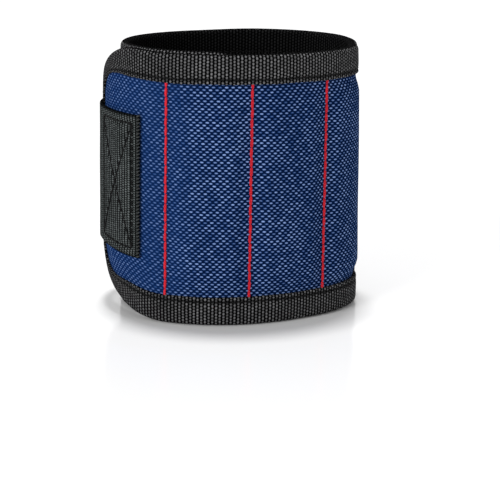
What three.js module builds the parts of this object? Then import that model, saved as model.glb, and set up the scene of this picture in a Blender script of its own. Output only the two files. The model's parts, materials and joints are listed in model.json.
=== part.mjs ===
// Magnetic wristband, closed as it is worn: one band rolled into a turn and a bit, standing on its edge.
// Millimetres, +Z up. The wrist goes through along Z, and the strap closes round the left side to the back.
// Lengths along the band run from the first pocket seam: growing past the pockets to the inner lap,
// and negative over the strap end, which is the outer lap.
// Offsets count from the outer face of the edge binding: positive away from the wrist.
import * as THREE from "three";

const degrees = Math.PI / 180;
const fullTurn = 360 * degrees;
const quarterTurn = 90 * degrees;

// Driving sizes of the band.
const bandHeight = 90;
const outerRadius = 42.6;
const squash = 3.3;
const pocketWidth = 28.9;
const strapEndLength = 53;
const strapEndCorner = 43;
const loopSegmentLength = 35;
const loopEndCorner = 29;

// Cloth, tape and padding.
const bindingWidth = 9.5;
const bindingTape = 0.5;
const shellCloth = 0.6;
const liningCloth = 0.6;
const pocketBulge = 0.5;
const pocketPadding = 1.3;
const flatPadding = 1.2;

// Magnets, a column of them in each pocket.
const magnetDiameter = 15;
const magnetThickness = 1.5;
const magnetEdgeMargin = 6.5;

// Hook-and-loop closure.
const loopPanelHeight = 48;
const loopPanelThickness = 0.8;
const strapHeight = 48;
const strapWeb = 1.2;
const strapSewn = 43.8;
const strapReach = 48;
const strapRootLength = 10;
const strapDescent = 18;
const strapCorner = 6;

// Clearances.
const layerGap = 0.3;
const lapClearance = 1.2;

// Turns are measured from the front, growing towards +X.
const squashTurn = -66.7 * degrees;
const firstSeamTurn = -31.7 * degrees;

// A squash of the radius bends the path up to four times as much.
const squashBend = 4;

// Counts.
const pocketCount = 5;
const loopSegmentCount = 4;
const flatSteps = 8;
const seamSteps = 2;
const straightSteps = 5;
const magnetSteps = 3;
const cornerSteps = 8;
const magnetSides = 16;
const pathSteps = 1600;

// Levels of each layer, as offsets: outer face first, inner face second.
const clothInset = bindingTape + layerGap;
const shellEdge = [-clothInset, -clothInset - shellCloth];
const liningEdge = below(shellEdge, liningCloth);
const liningFlat = below(shellEdge, flatPadding);
const wall = -liningEdge[1] + clothInset;
const shellPocket = [pocketBulge, pocketBulge - shellCloth];
const magnetRadius = magnetDiameter / 2;
// A flat magnet in a bent pocket needs the depth of the bend across it.
const tightestRadius = outerRadius - squashBend * squash;
const magnetSag = magnetRadius ** 2 / (2 * tightestRadius);
const magnetLevel = [shellPocket[1] - magnetSag - layerGap, 0];
magnetLevel[1] = magnetLevel[0] - magnetThickness;
const liningPocket = below(magnetLevel, pocketPadding);
const loopPanelLevel = [shellEdge[0] + layerGap + loopPanelThickness, shellEdge[0] + layerGap];

// The inner lap's loop panel passes just clear of the padding of the outer lap's first pocket.
const lapPitch = -liningPocket[1] + lapClearance + loopPanelLevel[0];

const bandStart = -strapEndLength;
const pocketsEnd = pocketCount * pocketWidth;
const bandFinish = pocketsEnd + loopSegmentCount * loopSegmentLength;
const seamRise = (pocketWidth - layerGap - magnetDiameter) / 2 - layerGap;
const edgeRise = magnetEdgeMargin - layerGap;
const riseStart = bindingWidth + layerGap;

function below(level, thickness) {
  return [level[1] - layerGap, level[1] - layerGap - thickness];
}

function smooth(share) {
  const held = Math.min(1, Math.max(0, share));
  return held * held * (3 - 2 * held);
}

// Radius of the binding's outer face: a spiral, a little squashed along one diagonal.
function bandRadius(turn) {
  const drawnIn = (lapPitch * (turn + quarterTurn)) / fullTurn;
  return outerRadius - drawnIn + squash * Math.cos(2 * (turn - squashTurn));
}

// A path round the wrist, seen from above, that can be walked by its length.
class WristPath {
  constructor(radius, zeroTurn, firstTurn, lastTurn) {
    this.radius = radius;
    this.marks = [];
    let length = 0;
    let before = null;
    for (let i = 0; i <= pathSteps; i++) {
      const turn = firstTurn + ((lastTurn - firstTurn) * i) / pathSteps;
      const point = this.point(turn);
      if (before) length += point.distanceTo(before);
      this.marks.push({ turn, length });
      before = point;
    }
    const zero = this.interpolate("turn", "length", zeroTurn);
    for (const mark of this.marks) mark.length -= zero;
  }

  point(turn) {
    const radius = this.radius(turn);
    return new THREE.Vector2(radius * Math.sin(turn), -radius * Math.cos(turn));
  }

  interpolate(known, wanted, value) {
    let low = 0;
    let high = this.marks.length - 1;
    while (high - low > 1) {
      const middle = (low + high) >> 1;
      if (this.marks[middle][known] > value) high = middle;
      else low = middle;
    }
    const a = this.marks[low];
    const b = this.marks[high];
    return a[wanted] + ((b[wanted] - a[wanted]) * (value - a[known])) / (b[known] - a[known]);
  }

  turnAt(length) {
    return this.interpolate("length", "turn", length);
  }

  // Outward normal of the path, square to its tangent.
  normalAt(length) {
    const turn = this.turnAt(length);
    const along = this.point(turn + degrees).sub(this.point(turn - degrees)).normalize();
    return new THREE.Vector2(along.y, -along.x);
  }

  at(length, offset, height) {
    const point = this.point(this.turnAt(length)).addScaledVector(this.normalAt(length), offset);
    return new THREE.Vector3(point.x, point.y, height);
  }
}

const bandPath = new WristPath(bandRadius, firstSeamTurn, -fullTurn / 2, fullTurn + quarterTurn);
const endTurn = bandPath.turnAt(bandStart);

// The strap's inner face runs over the strap end, then comes down onto the loop panel of the inner lap.
function strapRadius(turn) {
  const overEnd = bandRadius(turn) + layerGap;
  const onPanel = bandRadius(turn + fullTurn) + loopPanelLevel[0] + layerGap;
  const descentTurn = strapDescent / outerRadius;
  return THREE.MathUtils.lerp(overEnd, onPanel, smooth((endTurn - turn) / descentTurn));
}

const strapPath = new WristPath(strapRadius, endTurn, -fullTurn / 2, 0);

// Turns a closed shell of points and triangles into a geometry whose faces point out.
function closedGeometry(points, triangles) {
  const volume = triangles.reduce(
    (sum, [a, b, c]) => sum + points[a].dot(points[b].clone().cross(points[c])),
    0,
  );
  const index = volume < 0 ? triangles.map(([a, b, c]) => [a, c, b]) : triangles;
  const geometry = new THREE.BufferGeometry().setFromPoints(points);
  geometry.setIndex(index.flat());
  geometry.computeVertexNormals();
  return geometry;
}

function quad(a, b, c, d) {
  return [
    [a, b, c],
    [a, c, d],
  ];
}

// A sheet laid along a path. At each length, heightsAt gives the heights of its points,
// and levelAt(length, height) gives its outer and inner offsets there.
function sheetGeometry(path, lengths, heightsAt, levelAt) {
  const points = [];
  const rows = heightsAt(lengths[0]).length;
  for (const side of [0, 1])
    for (const length of lengths)
      for (const height of heightsAt(length))
        points.push(path.at(length, levelAt(length, height)[side], height));
  const inner = lengths.length * rows;
  const triangles = [];
  const lastColumn = lengths.length - 1;
  const lastRow = rows - 1;
  const at = (column, row) => column * rows + row;
  for (let i = 0; i < lastColumn; i++)
    for (let j = 0; j < lastRow; j++) {
      const corners = [at(i, j), at(i + 1, j), at(i + 1, j + 1), at(i, j + 1)];
      triangles.push(...quad(...corners));
      triangles.push(...quad(...corners.map((k) => k + inner).reverse()));
    }
  for (let i = 0; i < lastColumn; i++)
    for (const [a, b] of [
      [at(i + 1, 0), at(i, 0)],
      [at(i, lastRow), at(i + 1, lastRow)],
    ])
      triangles.push(...quad(a, b, b + inner, a + inner));
  for (let j = 0; j < lastRow; j++)
    for (const [a, b] of [
      [at(0, j), at(0, j + 1)],
      [at(lastColumn, j + 1), at(lastColumn, j)],
    ])
      triangles.push(...quad(a, b, b + inner, a + inner));
  return closedGeometry(points, triangles);
}

// Binding folded round the band's edge, along a route of outline points with their inward directions.
// Its section goes out over the shell, back to the fold, and the same way on the lining's side.
function bindingGeometry(route, tapeSteps) {
  const out = evenSteps(0, bindingWidth, tapeSteps);
  const back = evenSteps(bindingWidth, bindingTape, tapeSteps);
  const section = [
    ...out.map((depth) => [depth, 0]),
    ...back.map((depth) => [depth, -bindingTape]),
    ...[...back].reverse().map((depth) => [depth, -wall + bindingTape]),
    ...[...out].reverse().map((depth) => [depth, -wall]),
  ];
  const points = route.flatMap(({ length, height, inward }) =>
    section.map(([depth, offset]) =>
      bandPath.at(length + depth * inward[0], offset, height + depth * inward[1]),
    ),
  );
  const count = section.length;
  const half = count / 2;
  const triangles = [];
  for (let i = 0; i < route.length - 1; i++)
    for (let k = 0; k < count; k++) {
      const next = (k + 1) % count;
      const here = i * count;
      const there = here + count;
      triangles.push(...quad(here + k, here + next, there + next, there + k));
    }
  const capQuads = [[0, half - 1, half, count - 1]];
  for (let k = 0; k < tapeSteps; k++)
    for (const side of [0, half])
      capQuads.push([side + k, side + k + 1, side + half - 2 - k, side + half - 1 - k]);
  const last = (route.length - 1) * count;
  for (const cap of capQuads) {
    triangles.push(...quad(...[...cap].reverse()));
    triangles.push(...quad(...cap.map((k) => k + last)));
  }
  return closedGeometry(points, triangles);
}

function evenSteps(from, to, steps) {
  return Array.from({ length: steps + 1 }, (_, i) => from + ((to - from) * i) / steps);
}

function joinSteps(...runs) {
  return runs.flatMap((run, i) => (i ? run.slice(1) : run));
}

const materials = {
  shell: new THREE.MeshStandardMaterial({ color: 0x1b3566, roughness: 0.75 }),
  lining: new THREE.MeshStandardMaterial({ color: 0x131417, roughness: 0.95 }),
  binding: new THREE.MeshStandardMaterial({ color: 0x2d2d2c, roughness: 0.8 }),
  magnet: new THREE.MeshStandardMaterial({ color: 0xc8cbd0, roughness: 0.25, metalness: 1 }),
  loop: new THREE.MeshStandardMaterial({ color: 0x1a1a1c, roughness: 1 }),
  strap: new THREE.MeshStandardMaterial({ color: 0x333534, roughness: 0.85 }),
};

function addPiece(body, name, geometry, material) {
  const mesh = new THREE.Mesh(geometry, material);
  mesh.name = name;
  body.add(mesh);
  return mesh;
}

// How far the cloth has risen, from 0 where the binding holds it flat to 1 in the middle.
function bindingRiseAt(height) {
  return smooth((Math.min(height, bandHeight - height) - riseStart) / edgeRise);
}

// The same for a pocket, whose cloth is pinched at its seams too.
function pocketRiseAt(start, length, height) {
  const fromSeam = Math.min(length - start, start + pocketWidth - length) - layerGap / 2;
  return smooth(fromSeam / seamRise) * bindingRiseAt(height);
}

function straightRoute(lengths, height, inwardZ) {
  return lengths.map((length) => ({ length, height, inward: [0, inwardZ] }));
}

function addStraightBindings(body, label, lengths) {
  const bottom = bindingGeometry(straightRoute(lengths, 0, 1), 1);
  addPiece(body, "binding_bottom_" + label, bottom, materials.binding);
  const top = bindingGeometry(straightRoute(lengths, bandHeight, -1), 1);
  addPiece(body, "binding_top_" + label, top, materials.binding);
}

// One pocket: a woven shell, a padded mesh lining and a column of disc magnets sewn in between.
function makePocket(index) {
  const body = new THREE.Group();
  const label = "pocket_" + (index + 1);
  const start = index * pocketWidth;
  const first = start + layerGap / 2;
  const last = start + pocketWidth - layerGap / 2;
  const lengths = joinSteps(
    evenSteps(first, first + seamRise, seamSteps),
    evenSteps(first + seamRise, last - seamRise, magnetSteps),
    evenSteps(last - seamRise, last, seamSteps),
  );
  const lowHeights = joinSteps(
    [clothInset, riseStart],
    evenSteps(riseStart, riseStart + edgeRise, seamSteps),
  );
  const heights = [...lowHeights, ...lowHeights.map((height) => bandHeight - height).reverse()];
  const layer = (edge, full) => (length, height) => {
    const rise = pocketRiseAt(start, length, height);
    return edge.map((level, side) => THREE.MathUtils.lerp(level, full[side], rise));
  };
  const shell = sheetGeometry(bandPath, lengths, () => heights, layer(shellEdge, shellPocket));
  addPiece(body, "shell_" + label, shell, materials.shell);
  const lining = sheetGeometry(bandPath, lengths, () => heights, layer(liningEdge, liningPocket));
  addPiece(body, "lining_" + label, lining, materials.lining);
  addStraightBindings(body, label, lengths);
  addMagnets(body, label, start + pocketWidth / 2);
  return body;
}

function addMagnets(body, label, length) {
  const reach = bandHeight / 2 - bindingWidth - magnetEdgeMargin - magnetRadius;
  const normal = bandPath.normalAt(length);
  const depth = magnetLevel[0] - magnetThickness / 2;
  for (const [place, lift] of [
    ["bottom", -reach],
    ["middle", 0],
    ["top", reach],
  ]) {
    const disc = new THREE.CylinderGeometry(magnetRadius, magnetRadius, magnetThickness, magnetSides);
    const magnet = addPiece(body, "magnet_" + place + "_" + label, disc, materials.magnet);
    magnet.position.copy(bandPath.at(length, depth, bandHeight / 2 + lift));
    magnet.rotation.z = Math.atan2(-normal.x, normal.y);
  }
}

// Height of the rounded outline's lower side, drawn in by an inset, at a length from the band's end.
function outlineHeight(corner, fromEnd, inset) {
  const pastCentre = Math.max(0, corner - fromEnd);
  const radius = corner - inset;
  return corner - Math.sqrt(Math.max(0, radius ** 2 - pastCentre ** 2));
}

// Distances from the band's rounded end at which its cloth has points, from the end inwards.
function endSteps(corner, span) {
  const radius = corner - clothInset;
  const rounded = evenSteps(quarterTurn, 0, cornerSteps).map(
    (angle) => corner - radius * Math.sin(angle),
  );
  return joinSteps(rounded, evenSteps(corner, span - layerGap / 2, straightSteps));
}

// A rounded end of the band. Its end lies at the length tip, and into is 1 or -1 towards the band.
function addRoundedEnd(body, label, tip, into, span, corner) {
  const fromEnds = endSteps(corner, span);
  const lengths = fromEnds.map((fromEnd) => tip + into * fromEnd);
  const heightsAt = (length) => {
    const low = outlineHeight(corner, Math.abs(length - tip), clothInset);
    return [low, bandHeight - low];
  };
  const shell = sheetGeometry(bandPath, lengths, heightsAt, () => shellEdge);
  addPiece(body, "shell_" + label, shell, materials.shell);
  const lining = sheetGeometry(bandPath, lengths, heightsAt, () => liningEdge);
  addPiece(body, "lining_" + label, lining, materials.lining);
  const lowCorner = evenSteps(0, quarterTurn, cornerSteps).map((angle) => ({
    length: tip + into * corner * (1 - Math.sin(angle)),
    height: corner * (1 - Math.cos(angle)),
    inward: [into * Math.sin(angle), Math.cos(angle)],
  }));
  const straight = evenSteps(span - layerGap / 2, corner, straightSteps);
  const lowEdge = straightRoute(straight.map((fromEnd) => tip + into * fromEnd), 0, 1);
  const lowRoute = [...lowEdge, ...lowCorner.slice(1)];
  const topRoute = lowRoute
    .map(({ length, height, inward }) => ({
      length,
      height: bandHeight - height,
      inward: [inward[0], -inward[1]],
    }))
    .reverse();
  const binding = bindingGeometry([...lowRoute, ...topRoute], seamSteps);
  addPiece(body, "binding_" + label, binding, materials.binding);
}

// How far from the band's rounded end the loop panel's corners clear the binding.
function panelEndInset() {
  const aside = Math.max(0, loopEndCorner - (bandHeight - loopPanelHeight) / 2);
  return loopEndCorner - Math.sqrt((loopEndCorner - riseStart) ** 2 - aside ** 2);
}

function addLoopPanel(body, label, lengths) {
  const heights = evenSteps((bandHeight - loopPanelHeight) / 2, (bandHeight + loopPanelHeight) / 2, 1);
  const panel = sheetGeometry(bandPath, lengths, () => heights, () => loopPanelLevel);
  addPiece(body, "loop_panel_" + label, panel, materials.loop);
}

// The tail of the band that carries the soft loop panel; the last of its lengths has the rounded end.
function makeLoopSegment(index) {
  const body = new THREE.Group();
  const label = "loop_" + (index + 1);
  const start = pocketsEnd + index * loopSegmentLength;
  const first = start + layerGap / 2;
  const last = start + loopSegmentLength - layerGap / 2;
  if (index === loopSegmentCount - 1) {
    addRoundedEnd(body, label, bandFinish, -1, loopSegmentLength, loopEndCorner);
    addLoopPanel(body, label, evenSteps(first, bandFinish - panelEndInset(), flatSteps));
    return body;
  }
  const lengths = evenSteps(first, last, flatSteps);
  const edges = [clothInset, bandHeight - clothInset];
  const shell = sheetGeometry(bandPath, lengths, () => edges, () => shellEdge);
  addPiece(body, "shell_" + label, shell, materials.shell);
  const lowHeights = [clothInset, riseStart, riseStart + edgeRise];
  const heights = [...lowHeights, ...lowHeights.map((height) => bandHeight - height).reverse()];
  const padding = (length, height) => {
    const rise = bindingRiseAt(height);
    return liningEdge.map((level, side) => THREE.MathUtils.lerp(level, liningFlat[side], rise));
  };
  const lining = sheetGeometry(bandPath, lengths, () => heights, padding);
  addPiece(body, "lining_" + label, lining, materials.lining);
  addStraightBindings(body, label, lengths);
  addLoopPanel(body, label, lengths);
  return body;
}

// Elastic strap webbing between two lengths of the strap's path, with rounded corners at its free tip.
function addStrap(body, name, from, to, corner) {
  const low = (bandHeight - strapHeight) / 2;
  const cornerRun = evenSteps(quarterTurn, 0, seamSteps).map(
    (angle) => from + corner * (1 - Math.sin(angle)),
  );
  const lengths = joinSteps(corner ? cornerRun : [from], evenSteps(from + corner, to, flatSteps));
  const heightsAt = (length) => {
    const pastCentre = Math.max(0, corner - (length - from));
    const inset = corner - Math.sqrt(Math.max(0, corner ** 2 - pastCentre ** 2));
    return [low + inset, bandHeight - low - inset];
  };
  const web = sheetGeometry(strapPath, lengths, heightsAt, () => [strapWeb, 0]);
  addPiece(body, name, web, materials.strap);
}

function makeStrapEnd() {
  const body = new THREE.Group();
  addRoundedEnd(body, "strap_end", bandStart, 1, strapEndLength, strapEndCorner);
  addStrap(body, "strap_sewn_part", layerGap / 2, strapSewn, 0);
  return body;
}

function makeStrapRoot() {
  const body = new THREE.Group();
  addStrap(body, "strap_root", -strapRootLength + layerGap / 2, -layerGap / 2, 0);
  return body;
}

function makeStrapTail() {
  const body = new THREE.Group();
  addStrap(body, "strap_tail", -strapReach, -strapRootLength - layerGap / 2, strapCorner);
  return body;
}

const wristband = new THREE.Group();
wristband.add(makeStrapTail(), makeStrapRoot(), makeStrapEnd());
for (let i = 0; i < pocketCount; i++) wristband.add(makePocket(i));
for (let i = 0; i < loopSegmentCount; i++) wristband.add(makeLoopSegment(i));

// The origin is the centre of the footprint, on the surface that the lower edge stands on.
wristband.updateMatrixWorld(true);
const footprint = new THREE.Box3().setFromObject(wristband).getCenter(new THREE.Vector3());
wristband.position.set(-footprint.x, -footprint.y, 0);

// Fold lines, for whoever poses the band: where each stands, outside everything that it must clear,
// and the turn between the neighbours' middles, which is how far it opens until the band lies flat.
function foldLine(path, length, offset, before, after) {
  const at = path.at(length, offset, bandHeight / 2).add(wristband.position);
  const turn = before.path.normalAt(before.middle).angleTo(after.path.normalAt(after.middle));
  return { at: at.toArray(), opens: turn / degrees };
}

const seamClearance = layerGap;
const panelClearance = loopPanelLevel[0] + layerGap;
const middles = [
  { path: strapPath, middle: -(strapRootLength + strapReach) / 2 },
  { path: bandPath, middle: bandStart / 2 },
];
for (let i = 0; i < pocketCount; i++)
  middles.push({ path: bandPath, middle: (i + 1 / 2) * pocketWidth });
for (let i = 0; i < loopSegmentCount; i++)
  middles.push({ path: bandPath, middle: pocketsEnd + (i + 1 / 2) * loopSegmentLength });
const folds = {
  strap_peel: foldLine(strapPath, -strapRootLength, strapWeb + layerGap, middles[0], middles[0]),
  strap_base: foldLine(strapPath, 0, strapWeb + layerGap, middles[0], middles[1]),
};
for (let i = 0; i <= pocketCount; i++) {
  const offset = i < pocketCount ? seamClearance : panelClearance;
  folds["seam_" + (i + 1)] = foldLine(bandPath, i * pocketWidth, offset, middles[i + 1], middles[i + 2]);
}
for (let i = 1; i < loopSegmentCount; i++) {
  const length = pocketsEnd + i * loopSegmentLength;
  const neighbours = [middles[pocketCount + 1 + i], middles[pocketCount + 2 + i]];
  folds["loop_fold_" + i] = foldLine(bandPath, length, panelClearance, ...neighbours);
}
wristband.userData.folds = folds;

export default wristband;
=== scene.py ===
"""Magnetic wristband, closed as it is worn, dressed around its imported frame.

Shapes are worked out in millimetres and become metres when a mesh is made.
Lengths run along the band from the first pocket seam: growing past the pockets to the inner lap,
and negative over the strap end, which is the outer lap.
Offsets count from the outer face of the edge binding: positive away from the wrist.
"""

import json
import math

import bpy
import numpy as np
from mathutils import Matrix, Vector


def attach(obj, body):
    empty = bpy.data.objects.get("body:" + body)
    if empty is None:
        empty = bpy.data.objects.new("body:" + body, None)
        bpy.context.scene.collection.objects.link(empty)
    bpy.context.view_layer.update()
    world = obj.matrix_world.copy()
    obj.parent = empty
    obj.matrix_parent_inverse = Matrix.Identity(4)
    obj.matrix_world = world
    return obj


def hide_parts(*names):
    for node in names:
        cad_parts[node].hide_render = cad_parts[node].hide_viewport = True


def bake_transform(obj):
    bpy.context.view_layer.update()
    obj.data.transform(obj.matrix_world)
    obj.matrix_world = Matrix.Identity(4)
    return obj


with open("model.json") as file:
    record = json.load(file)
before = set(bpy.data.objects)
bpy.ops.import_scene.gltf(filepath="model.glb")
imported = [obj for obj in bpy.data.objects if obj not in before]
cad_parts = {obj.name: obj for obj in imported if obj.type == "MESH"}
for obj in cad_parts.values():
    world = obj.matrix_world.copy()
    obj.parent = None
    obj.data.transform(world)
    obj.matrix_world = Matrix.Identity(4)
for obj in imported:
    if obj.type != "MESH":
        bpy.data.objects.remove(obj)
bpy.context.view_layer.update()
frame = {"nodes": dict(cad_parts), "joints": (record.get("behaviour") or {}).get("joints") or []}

MM = 0.001
CLOTH_MAP = "cloth_mm"
FULL_TURN = 2 * math.pi
HALF_TURN = math.pi
QUARTER_TURN = math.pi / 2

# Driving sizes of the band, as in the part.
BAND_HEIGHT = 90.0
OUTER_RADIUS = 42.6
SQUASH = 3.3
SQUASH_BEND = 4
POCKET_WIDTH = 28.9
POCKET_COUNT = 5
STRAP_END_LENGTH = 53.0
STRAP_END_CORNER = 43.0
LOOP_SEGMENT_LENGTH = 35.0
LOOP_SEGMENT_COUNT = 4
LOOP_END_CORNER = 29.0

# Cloth, tape and padding.
BINDING_WIDTH = 9.5
BINDING_TAPE = 0.5
SHELL_CLOTH = 0.6
LINING_CLOTH = 0.6
POCKET_BULGE = 0.5
POCKET_PADDING = 1.3
FLAT_PADDING = 1.2
MAGNET_DIAMETER = 15.0
MAGNET_THICKNESS = 1.5
MAGNET_EDGE_MARGIN = 6.5

# Hook-and-loop closure.
PANEL_HEIGHT = 48.0
PANEL_THICKNESS = 0.8
STRAP_HEIGHT = 48.0
STRAP_WEB = 1.2
STRAP_SEWN = 43.8
STRAP_REACH = 48.0
STRAP_ROOT_LENGTH = 10.0
STRAP_DESCENT = 18.0
STRAP_CORNER = 6.0

LAYER_GAP = 0.3
LAP_CLEARANCE = 1.2
SQUASH_TURN = math.radians(-66.7)
FIRST_SEAM_TURN = math.radians(-31.7)

# Levels of each layer, as offsets of its outer and inner face.
CLOTH_INSET = BINDING_TAPE + LAYER_GAP
SHELL_EDGE = (-CLOTH_INSET, -CLOTH_INSET - SHELL_CLOTH)
LINING_EDGE = (SHELL_EDGE[1] - LAYER_GAP, SHELL_EDGE[1] - LAYER_GAP - LINING_CLOTH)
LINING_FLAT = (LINING_EDGE[0], LINING_EDGE[0] - FLAT_PADDING)
WALL = CLOTH_INSET - LINING_EDGE[1]
SHELL_POCKET = (POCKET_BULGE, POCKET_BULGE - SHELL_CLOTH)
TIGHTEST_RADIUS = OUTER_RADIUS - SQUASH_BEND * SQUASH
MAGNET_SAG = (MAGNET_DIAMETER / 2) ** 2 / (2 * TIGHTEST_RADIUS)
MAGNET_INNER = SHELL_POCKET[1] - MAGNET_SAG - LAYER_GAP - MAGNET_THICKNESS
LINING_POCKET = (MAGNET_INNER - LAYER_GAP, MAGNET_INNER - LAYER_GAP - POCKET_PADDING)
PANEL_LEVEL = (SHELL_EDGE[0] + LAYER_GAP + PANEL_THICKNESS, SHELL_EDGE[0] + LAYER_GAP)
LAP_PITCH = -LINING_POCKET[1] + LAP_CLEARANCE + PANEL_LEVEL[0]

BAND_START = -STRAP_END_LENGTH
POCKETS_END = POCKET_COUNT * POCKET_WIDTH
BAND_FINISH = POCKETS_END + LOOP_SEGMENT_COUNT * LOOP_SEGMENT_LENGTH
SEAM_RISE = (POCKET_WIDTH - LAYER_GAP - MAGNET_DIAMETER) / 2 - LAYER_GAP
EDGE_RISE = MAGNET_EDGE_MARGIN - LAYER_GAP
RISE_START = BINDING_WIDTH + LAYER_GAP
CLOTH_TUCKED = 0.35
HIDDEN_INSET = CLOTH_INSET + CLOTH_TUCKED
PANEL_LOW = (BAND_HEIGHT - PANEL_HEIGHT) / 2
STRAP_LOW = (BAND_HEIGHT - STRAP_HEIGHT) / 2

# Steps of the meshes in millimetres, and how many points some of their lines have.
CLOTH_STEP = 1.2
EDGE_STEP = 1.0
PANEL_STEP = 1.5
STRAP_STEP = 0.8
STRAP_ROW_STEP = 0.9
CLOSEST_STEP = 0.02
CLOTH_ROWS = 52
ROW_CROWDING = 0.035
CORNER_ANGLES = 26
FOLD_ANGLES = 11
PATH_MARKS = 3001


def smooth(distance, run=1):
    """Goes smoothly from 0 to 1 over a run."""
    held = np.clip(distance / run, 0, 1)
    return held * held * (3 - 2 * held)


def mix(a, b, share):
    return a + (b - a) * share


def beside(*values):
    """Values side by side in a new last axis."""
    return np.stack(np.broadcast_arrays(*values), -1)


def hump(distance, width):
    """A rounded hump: 1 in its middle, fading to 0 beyond its width."""
    return np.exp(-((distance / width) ** 2))


def from_edges(height, low):
    """Distance of a height from the nearer edge of a strip that starts at low and is centred on the band."""
    return np.minimum(height - low, BAND_HEIGHT - low - height)


def edge_drop(distance, radius):
    """How far a surface falls where its edge is rounded."""
    past = np.clip(1 - distance / radius, 0, 1)
    return radius * (1 - np.sqrt(1 - past**2))


def steps(first, last, step):
    """Evenly spaced values from first to last, about step apart."""
    return np.linspace(first, last, max(1, math.ceil(abs(last - first) / step)) + 1)


def walk(points):
    """Distance walked along a line of points, from its first one."""
    stride = np.linalg.norm(np.diff(points, axis=0), axis=-1)
    return np.concatenate([[0], np.cumsum(stride)])


# Small unevenness of the cloth: waves along and across it, in radians per millimetre.
RIPPLE_WAVES = ((0.11, 0.05), (-0.07, 0.13), (0.21, 0.17), (0.29, -0.11))
RIPPLE_PHASE = 1.7
RIPPLE_FADE = 1.6


def ripple(length, height, seed):
    """A gentle unevenness of hand-made cloth, from about -1 to 1, the same at each run."""
    total = 0
    for turn, (along, across) in enumerate(RIPPLE_WAVES):
        angle = along * length + across * height + seed * (RIPPLE_PHASE + turn)
        total = total + np.sin(angle) / (RIPPLE_FADE + turn)
    return total / RIPPLE_FADE


# Paths of the band and the strap

# How the cloth has settled out of its even roll.
# The strap end's foot is tucked in towards the wrist.
TUCK = 1.7
TUCK_START = -6.0
TUCK_RUN = 20.0
TUCK_HEIGHT = 22.0
# The strap end is lifted a little, most at its foot.
LIFT = 2.4
LIFT_TOP = 1.2
LIFT_RUN = 22.0
LIFT_HEIGHT = 42.0
# The far rim is raised, and less so from where the tail begins.
RAISE = 0.65
RAISE_FROM = 84.0
RAISE_EASED = 140.0
RAISE_RUN = 24.0
RAISE_EASE = 0.6
# The last pockets bulge, most at their foot.
BULGE = 2.4
BULGE_TOP = 0.6
BULGE_FROM = 46.0
BULGE_TO = 150.0
BULGE_RUN = 30.0
BULGE_DEPTH = 4.6
# The fourth seam lies in a crease.
CREASE = 1.0
CREASE_AT = 3 * POCKET_WIDTH
CREASE_WIDTH = 4.5
# The strap lies a little askew: it rises towards its tail.
ASKEW_TOP = 0.4
ASKEW_LOW = 2.0
ASKEW_RUN = 26.0


class WristPath:
    """A path round the wrist, seen from above, that is walked by its length.

    shift tells how far the soft cloth has gone from it, and middle is the offset where the cloth bends.
    """

    def __init__(self, radius_of, zero_turn, last_turn, shift, middle, pole=(0.0, 0.0)):
        turns = np.linspace(-HALF_TURN, last_turn, PATH_MARKS)
        radii = radius_of(turns)
        x = radii * np.sin(turns)
        y = -radii * np.cos(turns)
        walked = walk(beside(x, y))
        self.lengths = walked - np.interp(zero_turn, turns, walked)
        along_x = np.gradient(x, self.lengths)
        along_y = np.gradient(y, self.lengths)
        pace = np.hypot(along_x, along_y)
        self.marks = {"turn": turns, "x": x, "y": y, "nx": along_y / pace, "ny": -along_x / pace}
        self.shift = shift
        self.middle = middle
        self.pole = pole

    def read(self, name, length):
        return np.interp(length, self.lengths, self.marks[name])

    def even(self, length, offset, height):
        """Points at these lengths, offsets and heights, before the cloth has settled."""
        x = self.read("x", length) + self.read("nx", length) * offset + self.pole[0]
        y = self.read("y", length) + self.read("ny", length) * offset + self.pole[1]
        return beside(x, y, height)

    def at(self, length, offset, height):
        """Points of the settled cloth at these lengths, offsets and heights, which broadcast together."""
        length, offset, height = np.broadcast_arrays(length, offset, height)
        outward, lift = self.shift(length, offset, height)
        return self.even(length, offset + outward, height + lift)

    def outward(self, length):
        """Unit vectors that point away from the wrist at these lengths."""
        return beside(self.read("nx", length), self.read("ny", length), 0)


def settled(length, offset, height):
    """How far the band's cloth has gone outward and up out of its even roll, mostly at its foot."""
    tucked = smooth(TUCK_START - length, TUCK_RUN) * smooth(1 - height / TUCK_HEIGHT)
    lift = smooth(-length, LIFT_RUN) * mix(LIFT_TOP, LIFT, smooth(1 - height / LIFT_HEIGHT))
    eased = 1 - RAISE_EASE * smooth(length - RAISE_EASED, RAISE_RUN)
    raised = smooth(length - RAISE_FROM, RAISE_RUN) * eased
    lift = lift + RAISE * raised * height / BAND_HEIGHT
    bulged = smooth(length - BULGE_FROM, BULGE_RUN) * smooth(BULGE_TO - length, BULGE_RUN)
    bulge = mix(BULGE_TOP, BULGE, 1 - height / BAND_HEIGHT) * bulged
    outer_share = np.clip(1 + offset / BULGE_DEPTH, 0, 1)
    return bulge * outer_share - TUCK * tucked - CREASE * hump(length - CREASE_AT, CREASE_WIDTH), lift


def askew(length, offset, height):
    """How far the strap lies outward and up from its even place: it only rises, towards its tail."""
    low_share = 1 - (height - STRAP_LOW) / STRAP_HEIGHT
    return 0, mix(ASKEW_TOP, ASKEW_LOW, low_share) * smooth(STRAP_SEWN - length, ASKEW_RUN)


def band_radius(turn):
    drawn_in = LAP_PITCH * (turn + QUARTER_TURN) / FULL_TURN
    return OUTER_RADIUS - drawn_in + SQUASH * np.cos(2 * (turn - SQUASH_TURN))


def make_band_path(pole=(0.0, 0.0)):
    return WristPath(band_radius, FIRST_SEAM_TURN, FULL_TURN + QUARTER_TURN, settled, -WALL / 2, pole)


def find_pole():
    """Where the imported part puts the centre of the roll: its seam 3 hinge tells."""
    seam_3 = next(joint for joint in frame["joints"] if joint["name"] == "band_open")
    x, y, _ = make_band_path().even(2 * POCKET_WIDTH, LAYER_GAP, 0)
    return seam_3["pos_m"][0] / MM - x, seam_3["pos_m"][1] / MM - y


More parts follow.
